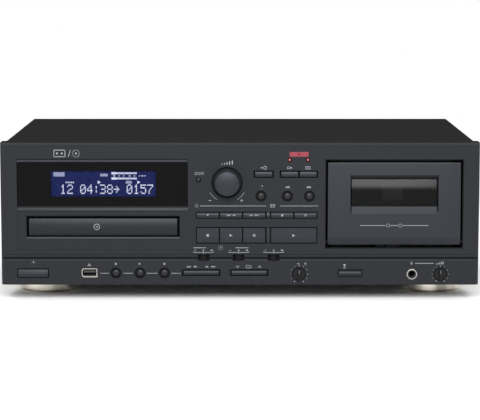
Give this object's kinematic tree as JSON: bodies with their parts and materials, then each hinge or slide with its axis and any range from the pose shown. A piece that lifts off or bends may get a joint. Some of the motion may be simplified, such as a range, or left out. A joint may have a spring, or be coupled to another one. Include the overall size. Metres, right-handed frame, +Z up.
{
  "type": "cd cassette deck",
  "caption": "Full-width audio deck with a disc drawer, a hinged cassette door over its tape transport, a display window, keys, dials and switches, on round feet.",
  "frame": {"origin": "on the floor, at the middle of the whole deck with its level knob and rear sockets", "axes": "+X to the right as seen from the front, +Y to the rear, +Z up"},
  "size_m": [0.435, 0.285, 0.145],
  "materials": {
    "panel_grey": "satin metallic",
    "key_grey": "satin",
    "knob_grey": "satin, dark anodised",
    "cover_black": "fine textured",
    "pan_steel": "zinc plated",
    "window_smoke": "smoked, polished",
    "door_window": "smoked, polished",
    "display_blue": "lit",
    "board_green": "solder mask",
    "foot_champagne": "metallic lacquer",
    "foot_rubber": "matte",
    "screw_black": "black plated",
    "plated": "nickel plated",
    "socket_black": "moulded",
    "lamp_red": "clear",
    "loader_black": "moulded",
    "gear_white": "moulded",
    "deck_steel": "plated",
    "head_metal": "polished",
    "roller_rubber": "ground"
  },
  "bodies": {
    "deck": {"chassis_pan": "pan_steel", "top_cover": "cover_black", "rear_panel": "cover_black", "front_panel": "panel_grey", "display_window": "window_smoke", "lcd_module": "display_blue", "control_board": "board_green", "main_board": "board_green", "feet": "foot_champagne", "foot_pads": "foot_rubber", "case_screws": "screw_black", "line_jacks": "plated", "mains_inlet": "socket_black", "mic_jack": "plated", "usb_port": "plated", "record_lamps": "lamp_red", "cd_loader_frame": "loader_black", "transport_plate": "deck_steel"},
    "drawer": {"cd_drawer_front": "panel_grey", "cd_tray": "loader_black"},
    "tape_door": {"cassette_door": "panel_grey", "cassette_window": "door_window", "cassette_holder": "loader_black"},
    "loader_pinion": {"loader_gear": "gear_white"},
    "turntable": {"cd_turntable": "loader_black"},
    "pickup": {"pickup_sled": "loader_black"},
    "supply_reel": {"supply_spindle": "gear_white"},
    "takeup_reel": {"takeup_spindle": "gear_white"},
    "capstan": {"capstan_flywheel": "deck_steel"},
    "heads": {"head_block": "head_metal"},
    "roller_arm": {"pinch_roller": "roller_rubber"},
    "cd_open_key": {"cd_open_button": "key_grey"},
    "cd_stop_key": {"cd_stop_button": "key_grey"},
    "cd_skip_back_key": {"cd_skip_back_button": "key_grey"},
    "cd_play_key": {"cd_play_button": "key_grey"},
    "cd_skip_forward_key": {"cd_skip_forward_button": "key_grey"},
    "cd_pause_key": {"cd_pause_button": "key_grey"},
    "tape_stop_key": {"tape_stop_button": "key_grey"},
    "tape_pause_key": {"tape_pause_button": "key_grey"},
    "tape_play_key": {"tape_play_button": "key_grey"},
    "source_key": {"source_button": "key_grey"},
    "usb_record_key": {"usb_record_button": "key_grey"},
    "tape_record_key": {"tape_record_button": "key_grey"},
    "repeat_key": {"repeat_button": "key_grey"},
    "rewind_key": {"rewind_button": "key_grey"},
    "forward_key": {"forward_button": "key_grey"},
    "usb_back_key": {"usb_back_button": "key_grey"},
    "usb_play_key": {"usb_play_button": "key_grey"},
    "usb_next_key": {"usb_next_button": "key_grey"},
    "counter_reset_key": {"counter_reset_button": "key_grey"},
    "power_key": {"power_button": "key_grey"},
    "eject_key": {"eject_button": "key_grey"},
    "rec_level_dial": {"rec_level_knob": "knob_grey"},
    "pitch_dial": {"pitch_knob": "key_grey"},
    "mic_level_dial": {"mic_level_knob": "key_grey"},
    "skip_rocking_key": {"skip_rocker": "key_grey"},
    "folder_rocking_key": {"folder_rocker": "key_grey"},
    "timer_slider": {"timer_switch": "key_grey"},
    "noise_filter_slider": {"noise_filter_switch": "key_grey"},
    "auto_reverse_slider": {"auto_reverse_switch": "key_grey"}
  },
  "joints": [
    {"name": "drawer_slide", "type": "slide", "parent": "deck", "child": "drawer", "axis": [0, -1, 0], "range_m": [0, 0.135]},
    {"name": "loader_gear_turn", "type": "hinge", "parent": "deck", "child": "loader_pinion", "pos_m": [-0.16765, -0.1015, 0.0603], "axis": [0, 0, 1], "range_deg": [0, 970]},
    {"name": "turntable_spin", "type": "hinge", "parent": "deck", "child": "turntable", "pos_m": [-0.12465, -0.05755, 0.066], "axis": [0, 0, 1], "continuous": true},
    {"name": "pickup_slide", "type": "slide", "parent": "deck", "child": "pickup", "axis": [0, 1, 0], "range_m": [0, 0.028]},
    {"name": "tape_door_hinge", "type": "hinge", "parent": "deck", "child": "tape_door", "pos_m": [0.14025, -0.1225, 0.054], "axis": [1, 0, 0], "range_deg": [0, 25]},
    {"name": "supply_spindle_turn", "type": "hinge", "parent": "deck", "child": "supply_reel", "pos_m": [0.119, -0.1035, 0.0963], "axis": [0, 1, 0], "continuous": true},
    {"name": "takeup_spindle_turn", "type": "hinge", "parent": "deck", "child": "takeup_reel", "pos_m": [0.1615, -0.1035, 0.0963], "axis": [0, 1, 0], "continuous": true},
    {"name": "capstan_turn", "type": "hinge", "parent": "deck", "child": "capstan", "pos_m": [0.16565, -0.1035, 0.0682], "axis": [0, 1, 0], "continuous": true},
    {"name": "head_slide", "type": "slide", "parent": "deck", "child": "heads", "axis": [0, 0, 1], "range_m": [0, 0.006]},
    {"name": "roller_arm_turn", "type": "hinge", "parent": "deck", "child": "roller_arm", "pos_m": [0.18515, -0.1097, 0.052], "axis": [0, 1, 0], "range_deg": [0, 12.2]},
    {"name": "cd_open_press", "type": "slide", "parent": "deck", "child": "cd_open_key", "axis": [0, 1, 0], "range_m": [0, 0.0007], "stiffness_N_per_m": 400},
    {"name": "cd_stop_press", "type": "slide", "parent": "deck", "child": "cd_stop_key", "axis": [0, 1, 0], "range_m": [0, 0.0007], "stiffness_N_per_m": 400},
    {"name": "cd_skip_back_press", "type": "slide", "parent": "deck", "child": "cd_skip_back_key", "axis": [0, 1, 0], "range_m": [0, 0.0007], "stiffness_N_per_m": 400},
    {"name": "cd_play_press", "type": "slide", "parent": "deck", "child": "cd_play_key", "axis": [0, 1, 0], "range_m": [0, 0.0007], "stiffness_N_per_m": 400},
    {"name": "cd_skip_forward_press", "type": "slide", "parent": "deck", "child": "cd_skip_forward_key", "axis": [0, 1, 0], "range_m": [0, 0.0007], "stiffness_N_per_m": 400},
    {"name": "cd_pause_press", "type": "slide", "parent": "deck", "child": "cd_pause_key", "axis": [0, 1, 0], "range_m": [0, 0.0007], "stiffness_N_per_m": 400},
    {"name": "tape_stop_press", "type": "slide", "parent": "deck", "child": "tape_stop_key", "axis": [0, 1, 0], "range_m": [0, 0.0007], "stiffness_N_per_m": 400},
    {"name": "tape_pause_press", "type": "slide", "parent": "deck", "child": "tape_pause_key", "axis": [0, 1, 0], "range_m": [0, 0.0007], "stiffness_N_per_m": 400},
    {"name": "tape_play_press", "type": "slide", "parent": "deck", "child": "tape_play_key", "axis": [0, 1, 0], "range_m": [0, 0.0007], "stiffness_N_per_m": 400},
    {"name": "source_press", "type": "slide", "parent": "deck", "child": "source_key", "axis": [0, 1, 0], "range_m": [0, 0.0007], "stiffness_N_per_m": 400},
    {"name": "usb_record_press", "type": "slide", "parent": "deck", "child": "usb_record_key", "axis": [0, 1, 0], "range_m": [0, 0.0007], "stiffness_N_per_m": 400},
    {"name": "tape_record_press", "type": "slide", "parent": "deck", "child": "tape_record_key", "axis": [0, 1, 0], "range_m": [0, 0.0007], "stiffness_N_per_m": 400},
    {"name": "repeat_press", "type": "slide", "parent": "deck", "child": "repeat_key", "axis": [0, 1, 0], "range_m": [0, 0.0007], "stiffness_N_per_m": 400},
    {"name": "rewind_press", "type": "slide", "parent": "deck", "child": "rewind_key", "axis": [0, 1, 0], "range_m": [0, 0.0007], "stiffness_N_per_m": 400},
    {"name": "forward_press", "type": "slide", "parent": "deck", "child": "forward_key", "axis": [0, 1, 0], "range_m": [0, 0.0007], "stiffness_N_per_m": 400},
    {"name": "usb_back_press", "type": "slide", "parent": "deck", "child": "usb_back_key", "axis": [0, 1, 0], "range_m": [0, 0.0007], "stiffness_N_per_m": 400},
    {"name": "usb_play_press", "type": "slide", "parent": "deck", "child": "usb_play_key", "axis": [0, 1, 0], "range_m": [0, 0.0007], "stiffness_N_per_m": 400},
    {"name": "usb_next_press", "type": "slide", "parent": "deck", "child": "usb_next_key", "axis": [0, 1, 0], "range_m": [0, 0.0007], "stiffness_N_per_m": 400},
    {"name": "counter_reset_press", "type": "slide", "parent": "deck", "child": "counter_reset_key", "axis": [0, 1, 0], "range_m": [0, 0.0007], "stiffness_N_per_m": 400},
    {"name": "power_press", "type": "slide", "parent": "deck", "child": "power_key", "axis": [0, 1, 0], "range_m": [0, 0.003], "stiffness_N_per_m": 300},
    {"name": "eject_press", "type": "slide", "parent": "deck", "child": "eject_key", "axis": [0, 1, 0], "range_m": [0, 0.003], "stiffness_N_per_m": 300},
    {"name": "rec_level_turn", "type": "hinge", "parent": "deck", "child": "rec_level_dial", "pos_m": [-0.0117, -0.1275, 0.109], "axis": [0, 1, 0], "range_deg": [-150, 150]},
    {"name": "pitch_turn", "type": "hinge", "parent": "deck", "child": "pitch_dial", "pos_m": [0.0539, -0.1275, 0.0248], "axis": [0, 1, 0], "range_deg": [-150, 150]},
    {"name": "mic_level_turn", "type": "hinge", "parent": "deck", "child": "mic_level_dial", "pos_m": [0.1828, -0.1275, 0.0248], "axis": [0, 1, 0], "range_deg": [-150, 150]},
    {"name": "skip_rocker_tilt", "type": "hinge", "parent": "deck", "child": "skip_rocking_key", "pos_m": [-0.03545, -0.1209, 0.02615], "axis": [0, 0, 1], "range_deg": [-2.5, 2.5], "stiffness_Nm_per_rad": 0.05},
    {"name": "folder_rocker_tilt", "type": "hinge", "parent": "deck", "child": "folder_rocking_key", "pos_m": [0.00835, -0.1209, 0.02615], "axis": [0, 0, 1], "range_deg": [-2.5, 2.5], "stiffness_Nm_per_rad": 0.05},
    {"name": "timer_slide", "type": "slide", "parent": "deck", "child": "timer_slider", "axis": [1, 0, 0], "range_m": [-0.003, 0.003]},
    {"name": "noise_filter_slide", "type": "slide", "parent": "deck", "child": "noise_filter_slider", "axis": [1, 0, 0], "range_m": [-0.003, 0.003]},
    {"name": "auto_reverse_slide", "type": "slide", "parent": "deck", "child": "auto_reverse_slider", "axis": [1, 0, 0], "range_m": [-0.003, 0.003]}
  ],
  "couplings": [
    {"joint": "loader_gear_turn", "follows": "drawer_slide", "rad_per_m": 125},
    {"joint": "roller_arm_turn", "follows": "head_slide", "rad_per_m": 34.907}
  ]
}
